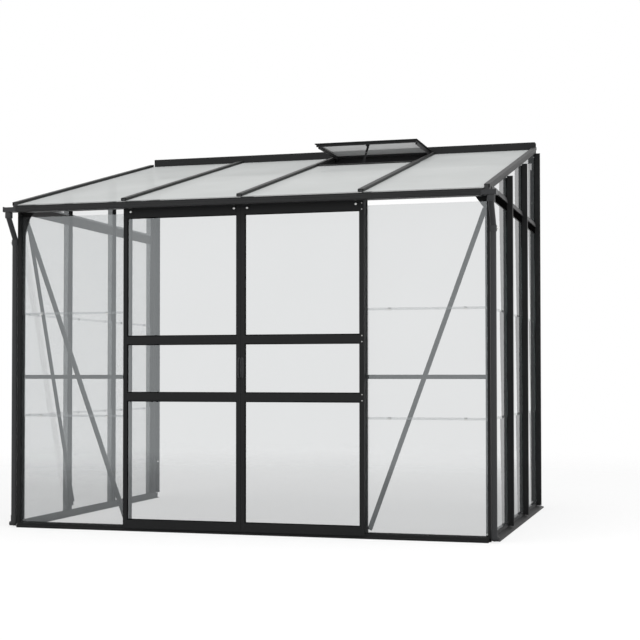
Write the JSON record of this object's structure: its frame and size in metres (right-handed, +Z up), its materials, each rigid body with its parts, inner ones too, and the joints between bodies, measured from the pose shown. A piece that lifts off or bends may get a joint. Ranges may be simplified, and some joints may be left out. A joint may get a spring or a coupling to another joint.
{
  "type": "lean-to greenhouse",
  "caption": "Lean-to greenhouse with a black frame, lapped clear panes, a sloping translucent roof, a roof vent, sliding double doors, a gutter and rain pipes.",
  "frame": {"origin": "on the ground under the middle of the front sill", "axes": "+X to the right along the front, +Y towards the house wall, +Z up"},
  "size_m": [2.562, 2.0204, 2.193],
  "materials": {
    "black_aluminium": "black powder coat, satin",
    "grey_plastic": "dark grey moulded plastic",
    "black_plastic": "black moulded plastic",
    "clear_glass": "clear toughened glass",
    "roof_sheet": "translucent glazing sheet",
    "zinc_steel": "bright zinc plate",
    "spring_steel": "sprung stainless strip",
    "nylon": "natural nylon"
  },
  "bodies": {
    "frame": {"brace_spacers": "zinc_steel", "corner_post_left": "black_aluminium", "corner_post_right": "black_aluminium", "downpipes": "grey_plastic", "eave_beam": "black_aluminium", "end_roof_bar_left": "black_aluminium", "end_roof_bar_right": "black_aluminium", "frame_bolts": "zinc_steel", "front_braces": "black_aluminium", "front_glass": "clear_glass", "front_gussets": "black_aluminium", "gutter": "black_aluminium", "gutter_outlets": "grey_plastic", "jamb_posts": "black_aluminium", "lap_clips": "spring_steel", "mid_bars": "black_aluminium", "pipe_collars": "grey_plastic", "pipe_shoes": "grey_plastic", "ridge_bar": "black_aluminium", "roller_track": "black_aluminium", "roof_bars": "black_aluminium", "roof_panel_vent": "roof_sheet", "roof_panels": "roof_sheet", "side_brace_left": "black_aluminium", "side_eave_bars": "black_aluminium", "side_glass_left": "clear_glass", "side_glass_right": "clear_glass", "side_gussets": "black_aluminium", "side_mullions": "black_aluminium", "sill_front": "black_aluminium", "sill_left": "black_aluminium", "sill_right": "black_aluminium", "swan_necks": "grey_plastic", "vent_head_bar": "black_aluminium", "vent_hinge_pin": "zinc_steel", "vent_sill_bar": "black_aluminium", "wall_post_left": "black_aluminium", "wall_post_right": "black_aluminium"},
    "door_left": {"door_left_bolts": "zinc_steel", "door_left_glass": "clear_glass", "door_left_guides": "nylon", "door_left_handle": "black_plastic", "door_left_hangers": "black_aluminium", "door_left_rails": "black_aluminium", "door_left_stiles": "black_aluminium"},
    "door_right": {"door_right_bolts": "zinc_steel", "door_right_glass": "clear_glass", "door_right_guides": "nylon", "door_right_handle": "black_plastic", "door_right_hangers": "black_aluminium", "door_right_rails": "black_aluminium", "door_right_stiles": "black_aluminium"},
    "stay": {"casement_stay": "black_aluminium"},
    "vent_flap": {"stay_bracket": "black_aluminium", "vent_flap_frame": "black_aluminium", "vent_flap_panel": "roof_sheet"},
    "wheel_left_inner": {"door_left_wheel_inner": "nylon"},
    "wheel_left_outer": {"door_left_wheel_outer": "nylon"},
    "wheel_right_inner": {"door_right_wheel_inner": "nylon"},
    "wheel_right_outer": {"door_right_wheel_outer": "nylon"}
  },
  "joints": [
    {"name": "door_left_slide", "type": "slide", "parent": "frame", "child": "door_left", "axis": [-1, 0, 0], "range_m": [0, 0.59]},
    {"name": "wheel_left_inner_spin", "type": "hinge", "parent": "door_left", "child": "wheel_left_inner", "pos_m": [-0.0345, -0.0245, 1.6638], "axis": [0, -1, 0], "range_deg": [-5, 4230]},
    {"name": "wheel_left_outer_spin", "type": "hinge", "parent": "door_left", "child": "wheel_left_outer", "pos_m": [-0.59, -0.0245, 1.6638], "axis": [0, -1, 0], "range_deg": [-5, 4230]},
    {"name": "door_right_slide", "type": "slide", "parent": "frame", "child": "door_right", "axis": [1, 0, 0], "range_m": [0, 0.59]},
    {"name": "wheel_right_inner_spin", "type": "hinge", "parent": "door_right", "child": "wheel_right_inner", "pos_m": [0.0345, -0.0245, 1.6638], "axis": [0, 1, 0], "range_deg": [-5, 4230]},
    {"name": "wheel_right_outer_spin", "type": "hinge", "parent": "door_right", "child": "wheel_right_outer", "pos_m": [0.59, -0.0245, 1.6638], "axis": [0, 1, 0], "range_deg": [-5, 4230]},
    {"name": "vent_hinge", "type": "hinge", "parent": "frame", "child": "vent_flap", "pos_m": [0.31, 1.842, 2.157], "axis": [-1, 0, 0], "range_deg": [-13.7, 20]},
    {"name": "stay_swing", "type": "hinge", "parent": "vent_flap", "child": "stay", "pos_m": [0.31, 1.417, 2.149], "axis": [1, 0, 0], "range_deg": [0, 75]}
  ],
  "couplings": [
    {"joint": "wheel_left_inner_spin", "follows": "door_left_slide", "rad_per_m": 125},
    {"joint": "wheel_left_outer_spin", "follows": "door_left_slide", "rad_per_m": 125},
    {"joint": "wheel_right_inner_spin", "follows": "door_right_slide", "rad_per_m": 125},
    {"joint": "wheel_right_outer_spin", "follows": "door_right_slide", "rad_per_m": 125}
  ]
}
